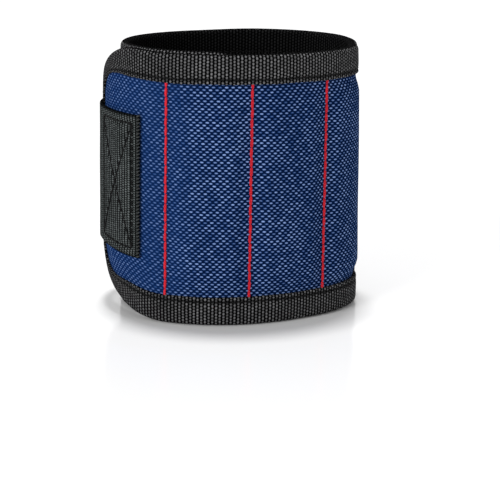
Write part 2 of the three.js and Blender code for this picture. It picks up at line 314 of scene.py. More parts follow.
POLE = find_pole()
band = make_band_path(POLE)
END_TURN = float(band.read("turn", BAND_START))


def strap_radius(turn):
    over_end = band_radius(turn) + LAYER_GAP
    on_panel = band_radius(turn + FULL_TURN) + PANEL_LEVEL[0] + LAYER_GAP
    return mix(over_end, on_panel, smooth((END_TURN - turn) / (STRAP_DESCENT / OUTER_RADIUS)))


strap = WristPath(strap_radius, END_TURN, 0, askew, STRAP_WEB / 2, POLE)


# Meshes

# Threads by their radius, and stitches by their pitch and the share of it that a thread covers.
FINE_THREAD = 0.2
BOBBIN_THREAD = 0.25
STRAP_THREAD = 0.3
SEAM_THREAD = 0.44
THREAD_FULLNESS = 1.15
BINDING_STITCH = {"pitch": 2.6, "fill_share": 0.86}
PANEL_STITCH = {"pitch": 2.6, "fill_share": 0.84}
BINDING_STITCH_DEPTH = 8.0
BINDING_STITCH_SUNK = 0.08
ROUTE_STITCH_SINK = 0.16

# Places along a stitch, as shares of it from its middle, and how its ends sink into the cloth.
STITCH_SHARES = np.linspace(-0.5, 0.5, 6)
STITCH_SINKING = (2 * np.abs(STITCH_SHARES)) ** 3


def add(name, data):
    """A new object in the scene."""
    obj = bpy.data.objects.new(name, data)
    bpy.context.scene.collection.objects.link(obj)
    return obj


def new_object(name, points, faces, cloth, material, sharp=40):
    """A smooth-shaded object from points in millimetres. cloth holds their places on flat cloth."""
    mesh = bpy.data.meshes.new(name)
    mesh.from_pydata((points * MM).tolist(), [], faces)
    corners = np.empty(len(mesh.loops), np.int32)
    mesh.loops.foreach_get("vertex_index", corners)
    layer = mesh.uv_layers.new(name=CLOTH_MAP)
    layer.data.foreach_set("uv", np.asarray(cloth, np.float32)[corners].ravel())
    mesh.materials.append(material)
    mesh.polygons.foreach_set("use_smooth", np.ones(len(mesh.polygons), bool))
    mesh.set_sharp_from_angle(angle=math.radians(sharp))
    mesh.update()
    return add(name, mesh)


def slab(name, outer, inner, cloth, material):
    """A closed layer between two grids of points, outer and inner. Its faces are turned to look out."""
    columns, rows = outer.shape[:2]
    count = columns * rows
    number = np.arange(count).reshape(columns, rows)
    a, b, c, d = number[:-1, :-1], number[1:, :-1], number[1:, 1:], number[:-1, 1:]
    face = beside(a, b, c, d).reshape(-1, 4)
    rims = []
    for line in (number[:, 0][::-1], number[:, -1], number[0, :], number[-1, :][::-1]):
        rims.append(beside(line[:-1], line[1:], line[1:] + count, line[:-1] + count))
    quads = np.concatenate([face, face[:, ::-1] + count, *rims])
    points = np.concatenate([outer.reshape(-1, 3), inner.reshape(-1, 3)])
    a, b, c, d = (points[quads[:, k]] for k in range(4))
    volume = (a * np.cross(b, c)).sum() + (a * np.cross(c, d)).sum()
    if volume < 0:
        quads = quads[:, ::-1]
    flat = cloth.reshape(-1, 2)
    return new_object(name, points, quads.tolist(), np.concatenate([flat, flat]), material)


def sheet(name, path, lengths, heights, level_of, material):
    """A slab that follows a path. level_of gives the offsets of its outer and inner face."""
    lengths, heights = np.broadcast_arrays(lengths, heights)
    outer, inner = (path.at(lengths, level, heights) for level in level_of(lengths, heights))
    return slab(name, outer, inner, beside(lengths, heights), material)


def threads(name, lines, outward, radius, material, sides):
    """Stitches as short rounded threads. lines has the points of each, outward their up directions."""
    count, rings = lines.shape[:2]
    along = np.gradient(lines, axis=1)
    along /= np.linalg.norm(along, axis=-1, keepdims=True)
    up = outward - (outward * along).sum(-1, keepdims=True) * along
    up /= np.linalg.norm(up, axis=-1, keepdims=True)
    side = np.cross(along, up)
    girth = radius * np.sqrt(THREAD_FULLNESS - np.abs(np.linspace(-1, 1, rings)) ** 4)
    angle = np.linspace(0, FULL_TURN, sides, endpoint=False)
    ring = np.cos(angle)[:, None] * up[:, :, None] + np.sin(angle)[:, None] * side[:, :, None]
    points = (lines[:, :, None] + ring * girth[None, :, None, None]).reshape(-1, 3)
    number = np.arange(count * rings * sides).reshape(count, rings, sides)
    after = np.roll(number, -1, axis=2)
    quads = beside(after[:, :-1], after[:, 1:], number[:, 1:], number[:, :-1])
    faces = quads.reshape(-1, 4).tolist()
    for start, end in zip(number[:, 0, ::-1].tolist(), number[:, -1].tolist()):
        faces += [start, end]
    cloth = beside(walk(lines[0])[None, :, None], (angle * radius)[None, None, :])
    cloth = np.broadcast_to(cloth, (count, rings, sides, 2)).reshape(-1, 2)
    return new_object(name, points, faces, cloth, material, sharp=80)


# Materials

WEAVE_ALONG = 2.14
WEAVE_ACROSS = 0.87
WEAVE_SLANT = 0.12
WARP_SHOWN = 0.3

# Near the strap end the weave's painted highlights and shade are evened out and the binding gets painted
# shade, fully up to one length, less and less as far as the other.
END_PAINT_FULL_TO = -1.0
END_PAINT_GONE_AT = 15.0
EVENED_CONTRAST = 0.48
EVENED_TONE = 0.41
BINDING_END_SHADE = 0.8

# Places across the tapes, and the painted shade that they get there: on the binding's side towards the
# wrist, in its stitch groove, and along the strap's edges.
TAPE_FOLD = 9.6
INSIDE_SHADE = -0.87
STITCH_ROW = 1.6
GROOVE_REACH = 0.8
GROOVE_SHADE = -0.85
EDGE_SHADE_WIDTH = 0.9
TAPE_DRIFT = 3.0
MIDDLE_TONE = 0.34


class Nodes:
    """A tree of shader nodes, with short words for what it uses."""

    def __init__(self, tree, output_kind):
        self.tree = tree
        tree.nodes.clear()
        self.output = tree.nodes.new(output_kind)

    def feed(self, socket, value):
        if isinstance(value, bpy.types.NodeSocket):
            self.tree.links.new(value, socket)
        else:
            socket.default_value = value

    def node(self, kind, inputs, output=0, **settings):
        node = self.tree.nodes.new(kind)
        for name, value in settings.items():
            setattr(node, name, value)
        for key, value in inputs.items():
            self.feed(node.inputs[key], value)
        return node.outputs[output]

    def math(self, operation, *values):
        return self.node("ShaderNodeMath", dict(enumerate(values)), operation=operation)

    def ray(self, kind):
        """1 for rays of this kind."""
        return self.node("ShaderNodeLightPath", {}, kind)

    def show(self, share, first, second):
        """Shows a blend of two shaders, with this share of the second."""
        blended = self.node("ShaderNodeMixShader", {0: share, 1: first, 2: second})
        self.feed(self.output.inputs["Surface"], blended)


class Finish(Nodes):
    """A material made of nodes."""

    def __init__(self, name):
        self.material = bpy.data.materials.new(name)
        self.material.use_nodes = True
        super().__init__(self.material.node_tree, "ShaderNodeOutputMaterial")
        self.surface = self.tree.nodes.new("ShaderNodeBsdfPrincipled")
        self.lit = self.surface.outputs["BSDF"]
        self.feed(self.output.inputs["Surface"], self.lit)

    def set(self, **values):
        for name, value in values.items():
            self.feed(self.surface.inputs[name.replace("_", " ")], value)

    def finished(self, colour, roughness, height, depth, shine=0.0):
        """The material, with this colour, and with bumps this many millimetres deep."""
        normal = self.node("ShaderNodeBump", {"Strength": 1.0, "Distance": depth * MM, "Height": height})
        self.set(Base_Color=colour, Roughness=roughness, Specular_IOR_Level=shine, Normal=normal)
        return self.material

    def flat_cloth(self):
        """The place on flat cloth in millimetres: along and across."""
        place = self.node("ShaderNodeUVMap", {}, "UV", uv_map=CLOTH_MAP)
        split = self.tree.nodes.new("ShaderNodeSeparateXYZ")
        self.feed(split.inputs[0], place)
        return split.outputs["X"], split.outputs["Y"]

    def vector(self, x, y, z=0.0):
        return self.node("ShaderNodeCombineXYZ", {0: x, 1: y, 2: z})

    def noise(self, vector, scale, detail=2.0, roughness=0.5):
        inputs = {"Vector": vector, "Scale": scale, "Detail": detail, "Roughness": roughness}
        return self.node("ShaderNodeTexNoise", inputs, noise_dimensions="3D")

    def random(self, vector):
        return self.node("ShaderNodeTexWhiteNoise", {"Vector": vector}, noise_dimensions="3D")

    def ramp(self, factor, *stops):
        node = self.tree.nodes.new("ShaderNodeValToRGB")
        self.feed(node.inputs[0], factor)
        elements = node.color_ramp.elements
        elements[0].position, elements[0].color = stops[0][0], (*stops[0][1], 1)
        elements[1].position, elements[1].color = stops[-1][0], (*stops[-1][1], 1)
        for position, colour in stops[1:-1]:
            elements.new(position).color = (*colour, 1)
        return node.outputs["Color"]

    def times(self, value, *factors):
        for factor in factors:
            value = self.math("MULTIPLY", value, factor)
        return value

    def minus(self, value, other):
        return self.math("SUBTRACT", value, other)

    def line(self, value, slope, start):
        """start plus slope times value."""
        return self.math("MULTIPLY_ADD", value, slope, start)

    def scale_range(self, value, low, high):
        return self.node("ShaderNodeMapRange", {"Value": value, "To Min": low, "To Max": high})

    def ease(self, value, first, last, low, high):
        """Goes smoothly from low to high while value goes from first to last."""
        inputs = {"Value": value, "From Min": first, "From Max": last, "To Min": low, "To Max": high}
        return self.node("ShaderNodeMapRange", inputs, interpolation_type="SMOOTHSTEP")

    def wobble(self, along, across, amount, scale):
        """Both coordinates, pushed about a little so that yarns don't lie dead straight."""
        first = self.line(self.noise(self.vector(along, across), scale), amount, along)
        second = self.line(self.noise(self.vector(along, across, 7.3), scale), amount, across)
        return first, second

    def bricks(self, along, across, pitch_along, pitch_across):
        """Cells laid like bricks: the place in each cell from -0.5 to 0.5, and the cell's numbers."""
        row = self.math("DIVIDE", across, pitch_across)
        row_number = self.math("FLOOR", row)
        column = self.line(row_number, 0.5, self.math("DIVIDE", along, pitch_along))
        column_number = self.math("FLOOR", column)
        x = self.minus(self.minus(column, column_number), 0.5)
        y = self.minus(self.minus(row, row_number), 0.5)
        return x, y, self.vector(column_number, row_number)

    def yarn(self, x, y, half_length, half_width, squareness=3.0):
        """Height of a yarn that comes up over its neighbours, 1 at its top and 0 around it."""
        left = 1.0
        for place, half, power in ((x, half_length, squareness), (y, half_width, 2.0)):
            share = self.math("ABSOLUTE", self.math("DIVIDE", place, half))
            left = self.minus(left, self.math("POWER", share, power))
        return self.math("SQRT", self.math("MAXIMUM", left, 0.0))

    def uneven(self, height, cell, place, dullest, scale, low, high):
        """Yarns that differ a little in brightness, under slow clouds."""
        chance = self.scale_range(self.random(cell), dullest, 1.0)
        cloud = self.scale_range(self.noise(place, scale), low, high)
        return self.times(height, chance, cloud)


def woven_shell():
    """Navy ballistic weave: yarns laid like bricks, with painted highlights on their crowns and painted
    shade between them, evened out near the strap end.
    """
    finish = Finish("navy_weave")
    along, across = finish.wobble(*finish.flat_cloth(), amount=0.25, scale=0.3)
    highlight_evened = finish.ease(along, END_PAINT_FULL_TO, END_PAINT_GONE_AT, 1.0, 0.0)
    along = finish.line(across, WEAVE_SLANT, along)
    x, y, cell = finish.bricks(along, across, WEAVE_ALONG, WEAVE_ACROSS)
    weft = finish.yarn(x, y, half_length=0.4, half_width=0.6)
    between = finish.math("ADD", along, WEAVE_ALONG / 2)
    gap_x, gap_y, _ = finish.bricks(between, across, WEAVE_ALONG, WEAVE_ACROSS)
    warp = finish.yarn(gap_x, gap_y, half_length=0.16, half_width=0.6, squareness=2.0)
    height = finish.math("MAXIMUM", weft, finish.times(warp, WARP_SHOWN))
    tone = finish.uneven(height, cell, finish.vector(along, across), 0.88, scale=0.05, low=0.94, high=1.05)
    # Near the strap end the yarns' painted highlights and painted shade are evened out.
    evened = finish.line(tone, EVENED_CONTRAST, EVENED_TONE)
    tone = finish.math("ADD", tone, finish.times(highlight_evened, finish.minus(evened, tone)))
    # The ramp paints by yarn height: painted shade between the yarns and a light-blue painted highlight on
    # their crowns.
    colour = finish.ramp(
        tone,
        (0.0, (0.0003, 0.001, 0.007)),
        (0.5, (0.0032, 0.014, 0.066)),
        (0.8, (0.01, 0.04, 0.145)),
        (0.97, (0.25, 0.365, 0.66)),
    )
    return finish.finished(colour, 0.6, height, depth=0.2)


def painted_tape_shade(finish, along, across):
    """Painted shade on the binding: on its side towards the wrist, in patches along its stitch groove, and
    towards the strap end.
    """
    # The side towards the wrist is darkened: painted shade, as the inside of the roll lies in shade.
    inside = finish.math("GREATER_THAN", across, TAPE_FOLD)
    # Painted shade in the groove of the stitch row, stronger in some patches along it than in others.
    from_row = finish.math("ABSOLUTE", finish.minus(across, STITCH_ROW))
    groove = finish.math("MAXIMUM", finish.line(from_row, -1 / GROOVE_REACH, 1.0), 0.0)
    groove_shade_patchiness = finish.scale_range(finish.noise(finish.vector(along, 0.0), 0.07, detail=1.0), 0.3, 1.5)
    drawn = finish.math("MAXIMUM", finish.line(finish.times(groove, groove_shade_patchiness), GROOVE_SHADE, 1.0), 0.0)
    inside_shaded = finish.line(inside, INSIDE_SHADE, 1.0)
    # Towards the strap end the binding also gets painted shade.
    return finish.times(drawn, inside_shaded, finish.ease(along, END_PAINT_FULL_TO, END_PAINT_GONE_AT, BINDING_END_SHADE, 1.0))


def painted_strap_edge_shade(finish, along, across):
    """Painted shade along the strap's edges and its cut end, standing for its thick sides in shade."""
    low = finish.minus(across, STRAP_LOW)
    high = finish.minus(BAND_HEIGHT - STRAP_LOW, across)
    hem = finish.minus(STRAP_SEWN, along)
    from_edge = finish.math("MINIMUM", finish.math("MINIMUM", low, high), hem)
    # Full painted shade at the edge, fading out over a short width.
    share = finish.times(finish.math("MAXIMUM", from_edge, 0.0), 1 / EDGE_SHADE_WIDTH)
    return finish.scale_range(finish.math("POWER", share, 2.0), 0.08, 1.0)


def ribbed_tape(name, dark, light, pitch, dot, rib_width, shade):
    """Ribs across the tape, each a row of small yarn ends, with a painted highlight on their tops and
    painted shade between them. shade gives a factor of further painted shade.
    """
    finish = Finish(name)
    shading = shade(finish, *finish.flat_cloth())
    along, across = finish.wobble(*finish.flat_cloth(), amount=0.16, scale=0.3)
    drift = finish.noise(finish.vector(along, across), 0.05, detail=1.0)
    across = finish.line(drift, TAPE_DRIFT, across)
    y, x, cell = finish.bricks(across, along, dot, pitch)
    head = finish.yarn(y, x, half_length=0.47, half_width=rib_width, squareness=2.4)
    tone = finish.uneven(head, cell, finish.vector(along, across), 0.7, scale=0.09, low=0.8, high=1.15)
    tone = finish.times(tone, shading)
    # From dark to light: painted shade between the yarn ends, painted highlight on their tops.
    middle = tuple(mix(a, b, MIDDLE_TONE) for a, b in zip(dark, light))
    colour = finish.ramp(tone, (0.0, dark), (0.5, middle), (0.95, light))
    return finish.finished(colour, 0.65, head, depth=0.2)


def mesh_lining():
    """Black spacer mesh with small round holes."""
    finish = Finish("black_spacer_mesh")
    along, across = finish.wobble(*finish.flat_cloth(), amount=0.15, scale=0.4)
    x, y, _ = finish.bricks(along, across, pitch_along=1.9, pitch_across=1.6)
    hole = finish.yarn(x, y, half_length=0.3, half_width=0.34, squareness=2.0)
    fibre = finish.noise(finish.vector(along, across), 3.0, detail=3.0, roughness=0.6)
    height = finish.minus(finish.times(fibre, 0.4), hole)
    tone = finish.times(fibre, finish.minus(1.0, hole))
    colour = finish.ramp(tone, (0.1, (0.0012, 0.0012, 0.0013)), (0.6, (0.024, 0.024, 0.026)))
    return finish.finished(colour, 0.95, height, depth=0.22)


def loop_pile():
    """Soft black pile of fine loops."""
    finish = Finish("black_loop_pile")
    place = finish.vector(*finish.flat_cloth())
    curls = finish.noise(place, 1.3, detail=4.0, roughness=0.7)
    patches = finish.noise(place, 0.1)
    colour = finish.ramp(
        finish.times(curls, finish.scale_range(patches, 0.75, 1.25)),
        (0.3, (0.0015, 0.0015, 0.0018)),
        (0.5, (0.006, 0.006, 0.007)),
        (0.72, (0.04, 0.04, 0.044)),
    )
    finish.set(Sheen_Weight=0.12, Sheen_Roughness=0.55, Sheen_Tint=(0.25, 0.25, 0.28, 1))
    return finish.finished(colour, 0.95, curls, depth=0.35, shine=0.1)


def twisted_thread(name, colour, roughness):
    """Sewing thread: its plies wind round it."""
    finish = Finish(name)
    along, across = finish.flat_cloth()
    wind = finish.line(along, 8.0, finish.times(across, 9.0))
    ply = finish.math("ABSOLUTE", finish.math("SINE", wind))
    # The valleys between the plies get painted shade, at half the thread's colour.
    shaded = finish.ramp(ply, (0.0, tuple(0.5 * part for part in colour)), (0.55, colour))
    return finish.finished(shaded, roughness, ply, depth=0.07, shine=0.1)


def nickel_plate():
    """Bright nickel plate with fine rubbing marks."""
    finish = Finish("nickel_plate")
    place = finish.node("ShaderNodeTexCoord", {}, "Object")
    marks = finish.noise(place, 900.0, detail=4.0, roughness=0.6)
    colour = finish.ramp(finish.noise(place, 90.0), (0.3, (0.52, 0.53, 0.55)), (0.8, (0.64, 0.65, 0.67)))
    finish.set(Metallic=1.0)
    return finish.finished(colour, finish.scale_range(marks, 0.18, 0.4), marks, depth=0.01, shine=0.5)


def hook_nylon():
    """Matt black moulded nylon of the hook tape."""
    finish = Finish("hook_nylon")
    grain = finish.noise(finish.vector(*finish.flat_cloth()), 4.0, detail=3.0)
    colour = finish.ramp(grain, (0.3, (0.008, 0.008, 0.009)), (0.8, (0.02, 0.02, 0.021)))
    return finish.finished(colour, 0.6, grain, depth=0.03, shine=0.15)


SHELL = woven_shell()
LINING = mesh_lining()
# Each tape's light colour is the painted highlight on its yarn tops.
BINDING = ribbed_tape(
    "black_binding_tape",
    dark=(0.0012, 0.0012, 0.0013),
    light=(0.2, 0.2, 0.205),
    pitch=1.23,
    dot=1.08,
    rib_width=0.35,
    shade=painted_tape_shade,
)
STRAP = ribbed_tape(
    "black_elastic_webbing",
    dark=(0.0012, 0.0016, 0.0017),
    light=(0.125, 0.14, 0.14),
    pitch=1.3,
    dot=0.75,
    rib_width=0.42,
    shade=painted_strap_edge_shade,
)
PILE = loop_pile()
RED_THREAD = twisted_thread("red_thread", (0.86, 0.026, 0.045), 0.5)
BLACK_THREAD = twisted_thread("black_thread", (0.005, 0.005, 0.0055), 0.6)
GREY_THREAD = twisted_thread("grey_thread", (0.06, 0.066, 0.066), 0.6)
NICKEL = nickel_plate()
NYLON = hook_nylon()


# Stretches: the band is dressed from the middle of one body to the middle of the next


class Stretch:
    """A length of the band or the strap, which rides on one body or lies across the bend between two."""

    def __init__(self, name, path, first, last, bodies, bend=()):
        self.name = name
        self.path = path
        self.first = first
        self.last = last
        self.bodies = bodies
        self.bend = bend

    def dress(self, obj, slot_name, nodes=()):
        """Lets an object ride on its body, or bakes it in place where the stretch bends, and hides the
        solids that it stands for.
        """
        if self.bend:
            start, end = (self.path.at(length, self.path.middle, 0) * MM for length in self.bend)
            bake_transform(obj)
        else:
            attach(obj, *self.bodies)
        if nodes:
            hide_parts(*nodes)
        return obj

    def sew(self, name, stitches, radius, material, slot_name, sides=6):
        """Adds stitches, given as the lines of their threads and the directions away from the cloth."""
        self.dress(threads(name, *stitches, radius, material, sides), slot_name)


BEND_SHARE = 0.83
FIRST_BEND = (18.0, 6.5)


def list_spans():
    """Stretches that each bend across one seam or fold, from the middle of one body to the next."""
    pockets = range(POCKET_COUNT)
    loops = range(LOOP_SEGMENT_COUNT)
    bodies = ["strap_end", *(f"pocket_{i + 1}" for i in pockets), *(f"loop_{i + 1}" for i in loops)]
    joints = [BAND_START, *(i * POCKET_WIDTH for i in pockets)]
    joints += [*(POCKETS_END + i * LOOP_SEGMENT_LENGTH for i in loops), BAND_FINISH]
    spans = []
    for number, (start, joint, end) in enumerate(zip(joints, joints[1:], joints[2:])):
        first = (start + joint) / 2
        last = (joint + end) / 2
        reach = BEND_SHARE * min(joint - first, last - joint)
        back, on = (reach, reach) if number else FIRST_BEND
        name = f"seam_{number + 1}" if number <= POCKET_COUNT else f"fold_{number - POCKET_COUNT}"
        bend = (joint - back, joint + on)
        spans.append(Stretch(name, band, first, last, tuple(bodies[number : number + 2]), bend))
    return spans


SPANS = list_spans()
STRAP_TIP = Stretch("strap_tip", band, BAND_START, SPANS[0].first, SPANS[0].bodies[:1])
LOOP_TIP = Stretch("loop_tip", band, SPANS[-1].last, BAND_FINISH, SPANS[-1].bodies[1:])
STRETCHES = [*SPANS, STRAP_TIP, LOOP_TIP]
ROUNDED_BODIES = STRAP_TIP.bodies + LOOP_TIP.bodies


def nearest_corner(length):
    """The corner radius of the nearer end, how far a length lies past its centre, and the way back in."""
    from_start = length - BAND_START
    from_finish = BAND_FINISH - length
    at_start = from_start < from_finish
    radius = np.where(at_start, STRAP_END_CORNER, LOOP_END_CORNER)
    past = np.clip(radius - np.minimum(from_start, from_finish), 0, None)
    return radius, past, np.where(at_start, 1.0, -1.0)


def outline_low(length, inset):
    """Height of the band's lower outline, drawn in by an inset."""
    radius, past, _ = nearest_corner(length)
    return radius - np.sqrt(np.clip((radius - inset) ** 2 - past**2, 0, None))


def outline_lengths(first, last, inset, step):
    """Lengths from first to last, stepped by angle where the outline turns a corner."""
    sine = np.sin(np.linspace(0, QUARTER_TURN, CORNER_ANGLES))
    low = BAND_START + STRAP_END_CORNER
    high = BAND_FINISH - LOOP_END_CORNER
    low_marks = low - (STRAP_END_CORNER - inset) * sine
    high_marks = high + (LOOP_END_CORNER - inset) * sine
    marks = [first, last, *low_marks, *high_marks]
    if max(first, low) < min(last, high):
        marks += list(steps(max(first, low), min(last, high), step))
    marks = np.unique(np.clip(np.round(marks, 4), first, last))
    kept = [marks[0]]
    for mark in marks[1:-1]:
        if mark - kept[-1] > CLOSEST_STEP and marks[-1] - mark > CLOSEST_STEP:
            kept.append(mark)
    return np.array(kept + [marks[-1]])


# The shell and the lining

SHELL_RIPPLE = 0.14
SHELL_RIPPLE_INSIDE = 0.1
LINING_RIPPLE = 0.12
FLAT_RIPPLE_SHARE = 0.6

# Puckers beside the red seams, and the low crown of the plain strap end.
SEAM_PITCH = 3.2
PUCKER = 0.05
PUCKER_WIDTH = 2.6
END_CROWN = 0.5
CROWN_RUN = 9
CROWN_STOP = 7

# Where the padding of the plain tail begins, and how it runs in and out.
FLAT_OFF_SEAM = 1
FLAT_START = POCKETS_END + FLAT_OFF_SEAM
FLAT_RUN = 6
FLAT_STOP = 8


def binding_rise(height):
    return smooth(from_edges(height, 0) - RISE_START, EDGE_RISE)


def pocket_rise(length, height):
    """1 in the middle of a pocket and 0 at its seams, under the binding and outside the pockets."""
    within = np.mod(length, POCKET_WIDTH)
    from_seam = np.minimum(within, POCKET_WIDTH - within) - LAYER_GAP / 2
    inside = (length > 0) & (length < POCKETS_END)
    return smooth(from_seam, SEAM_RISE) * binding_rise(height) * inside


def stitch_pull(length, height):
    """Small puckers that the red stitches draw into the cloth beside each seam."""
    nearest = POCKET_WIDTH * np.clip(np.round(length / POCKET_WIDTH), 0, POCKET_COUNT)
    wave = np.cos(FULL_TURN * height / SEAM_PITCH)
    return hump(np.abs(length - nearest), PUCKER_WIDTH) * wave * binding_rise(height)


def shell_level(length, height):
    rise = pocket_rise(length, height)
    outer = mix(SHELL_EDGE[0], SHELL_POCKET[0], rise)
    inner = mix(SHELL_EDGE[1], SHELL_POCKET[1], rise)
    end_rise = smooth(length - BAND_START - RISE_START, CROWN_RUN) * smooth(-length, CROWN_STOP)
    from_outline = from_edges(height, 0) - outline_low(length, 0)
    crown = END_CROWN * end_rise * (length < 0) * smooth(from_outline - RISE_START, EDGE_RISE)
    soft = SHELL_RIPPLE * rise * ripple(length, height, seed=2.0) + PUCKER * stitch_pull(length, height)
    return outer + crown + soft, inner + crown + np.minimum(soft, SHELL_RIPPLE_INSIDE)


def lining_level(length, height):
    pocket = pocket_rise(length, height)
    flat = binding_rise(height) * smooth(length - FLAT_START, FLAT_RUN)
    flat = flat * smooth(BAND_FINISH - LOOP_END_CORNER - length, FLAT_STOP)
    outer = mix(LINING_EDGE[0], LINING_POCKET[0], pocket)
    deep = pocket * (LINING_POCKET[1] - LINING_EDGE[1]) + flat * (LINING_FLAT[1] - LINING_EDGE[1])
    soft = LINING_RIPPLE * (pocket + FLAT_RIPPLE_SHARE * flat) * ripple(length, height, seed=5.0)
    return outer, LINING_EDGE[1] + deep + soft


def cloth_rows():
    """Shares of the way from the lower to the upper outline, closer together near the binding's edges."""
    share = np.linspace(0, 1, CLOTH_ROWS)
    return share - ROW_CROWDING * np.sin(FULL_TURN * 2 * share) / 2


def cloth_piece(name, stretch, level_of, material):
    """The cloth of a stretch. Its edge lies hidden in the fold of the binding."""
    first = max(stretch.first, BAND_START + HIDDEN_INSET)
    last = min(stretch.last, BAND_FINISH - HIDDEN_INSET)
    lengths = outline_lengths(first, last, HIDDEN_INSET, CLOTH_STEP)[:, None]
    low = outline_low(lengths, HIDDEN_INSET)
    heights = low + (BAND_HEIGHT - 2 * low) * cloth_rows()[None, :]
    return sheet(name, band, lengths, heights, level_of, material)


def make_cloth(layer, level_of, material, slot_name):
    made = []
    for stretch in STRETCHES:
        obj = cloth_piece(f"{layer}_{stretch.name}", stretch, level_of, material)
        made.append(stretch.dress(obj, slot_name, [f"{layer}_{body}" for body in stretch.bodies]))
    return made


# The binding

# The tape narrows round the strap end's corners. Its edge wavers, but not its fold, and its face is puffed.
TAPE_NARROWING = 0.52
NARROWING_FROM = 0.08
NARROWING_RUN = 0.5
EDGE_WAVE = 0.1
EDGE_WAVE_PACES = (0.31, 0.083)
EVEN_FOLD = 1
PUFF = 0.5
PUFF_PACE = 0.19
PUFF_PHASE = 0.7
PUFF_DEPTH = 5.5
PUFF_WIDTH = 2.5

# Half of the folded tape in section, from its edge to the fold: depths from the band's edge, and lifts.
# It dips where the row of stitches pulls it down.
TAPE_DEPTHS = np.array([BINDING_WIDTH, 9.25, 8.8, 8.35, 8.0, 7.65, 7.2, 6.4, 5.2, 4.0, 2.8, WALL / 2])
TAPE_LIFTS = np.array([-0.12, 0.06, 0.1, 0.0, -0.16, 0.0, 0.1, 0.14, 0.14, 0.1, 0.04, 0.0])


def tape_lines():
    """The folded tape's outer and inner line, as depth from the band's edge and offset."""
    fold = WALL / 2
    angles = np.linspace(0, HALF_TURN, FOLD_ANGLES + 2)[1:-1]

    def line(radius, tape):
        out = beside(TAPE_DEPTHS, TAPE_LIFTS - tape)
        bend = beside(fold - radius * np.sin(angles), -fold + radius * np.cos(angles))
        back = beside(TAPE_DEPTHS, -WALL - TAPE_LIFTS + tape)[::-1]
        return np.concatenate([out, bend, back])

    return line(fold, 0), line(fold - BINDING_TAPE, BINDING_TAPE)


def edge_route(first, last):
    """Points of the lower outline with their inward directions: length, height, inward along and up."""
    lengths = outline_lengths(first, last, 0, EDGE_STEP)
    radius, past, into = nearest_corner(lengths)
    sine = np.clip(past / radius, 0, 1)
    return beside(lengths, outline_low(lengths, 0), into * sine, np.sqrt(1 - sine**2))


def upper(route):
    """The same route along the upper outline."""
    turned = route.copy()
    turned[:, 1] = BAND_HEIGHT - route[:, 1]
    turned[:, 3] = -route[:, 3]
    return turned


def tip_route(tip):
    """Right round a rounded end of the band, from its lower edge where it is cut to its upper edge."""
    low = edge_route(tip.first, tip.last)
    end, corner, into = BAND_FINISH, LOOP_END_CORNER, -1.0
    if tip is STRAP_TIP:
        low = low[::-1]
        end, corner, into = BAND_START, STRAP_END_CORNER, 1.0
    heights = steps(corner, BAND_HEIGHT - corner, EDGE_STEP)[1:-1]
    return np.concatenate([low, beside(end, heights, into, 0), upper(low)[::-1]])


def tape_walk(route):
    """Place along the binding tape. Spans that meet agree on it, and past a rounded end it counts back."""
    walked = walk(route[:, :2])
    if route[-1, 0] == route[0, 0]:
        walked = np.minimum(walked, walked[-1] - walked)
    first = route[0, 0]
    radius, past, into = nearest_corner(first)
    return first - into * (radius * np.arcsin(past / radius) - past) + np.sign(route[1, 0] - first) * walked


def tape_depth(route, depth):
    """Depth from the edge of points on the tape, which narrows where it turns the strap end's corners."""
    narrowed = TAPE_NARROWING * smooth(route[:, 2:3] - NARROWING_FROM, NARROWING_RUN)
    return depth - narrowed * np.clip(depth - WALL / 2, 0, None)


def binding_piece(name, route):
    walked = tape_walk(route)
    outer_line, inner_line = tape_lines()
    slow, slower = EDGE_WAVE_PACES
    wave = EDGE_WAVE * (1 + np.sin(walked * slow) * np.sin(walked * slower + 1))[:, None]
    swell = PUFF * np.sin(walked * PUFF_PACE + PUFF_PHASE)[:, None]

    def place(line):
        across, offset = line[None, :, 0], line[None, :, 1]
        depth = tape_depth(route, across) + wave * (across > EVEN_FOLD)
        puff = 1 + swell * hump(across - PUFF_DEPTH, PUFF_WIDTH)
        offset = np.where(offset > -WALL / 2, offset * puff, offset)
        return band.at(route[:, 0:1] + depth * route[:, 2:3], offset, route[:, 1:2] + depth * route[:, 3:4])

    cloth = beside(walked[:, None], walk(outer_line)[None, :])
    return slab(name, place(outer_line), place(inner_line), cloth, BINDING)


def route_stitches(route, depth, offset, pitch, fill_share):
    """Stitches along a route: their points and outward directions."""
    walked = walk(route[:, :2])
    centres = np.arange(pitch / 2, walked[-1], pitch)
    spots = centres[:, None] + STITCH_SHARES * pitch * fill_share
    depth = np.interp(spots, walked, tape_depth(route, np.array([[depth]]))[:, 0])
    length, height, along, up = (np.interp(spots, walked, route[:, k]) for k in range(4))
    sunk = offset - np.sign(offset + WALL / 2) * ROUTE_STITCH_SINK * STITCH_SINKING
    lines = band.at(length + depth * along, sunk, height + depth * up)
    return lines, band.outward(length + depth * along)


def binding_routes(stretch):
    """Where the binding runs on a stretch: its side, its label and its route."""
    if not stretch.bend:
        return [("end", stretch.name, tip_route(stretch))]
    low = edge_route(stretch.first, stretch.last)
    return [("bottom", f"bottom_{stretch.name}", low), ("top", f"top_{stretch.name}", upper(low))]


def make_bindings():
    for stretch in STRETCHES:
        for side, label, route in binding_routes(stretch):
            nodes = [
                f"binding_{body}" if body in ROUNDED_BODIES else f"binding_{side}_{body}"
                for body in stretch.bodies
            ]
            stretch.dress(binding_piece(f"binding_{label}", route), "binding_tape", nodes)
            for face, offset in (("outer", -BINDING_STITCH_SUNK), ("inner", BINDING_STITCH_SUNK - WALL)):
                stitches = route_stitches(route, BINDING_STITCH_DEPTH, offset, **BINDING_STITCH)
                name = f"binding_stitches_{label}_{face}"
                stretch.sew(name, stitches, FINE_THREAD, BLACK_THREAD, "binding_tape")


# The red seams

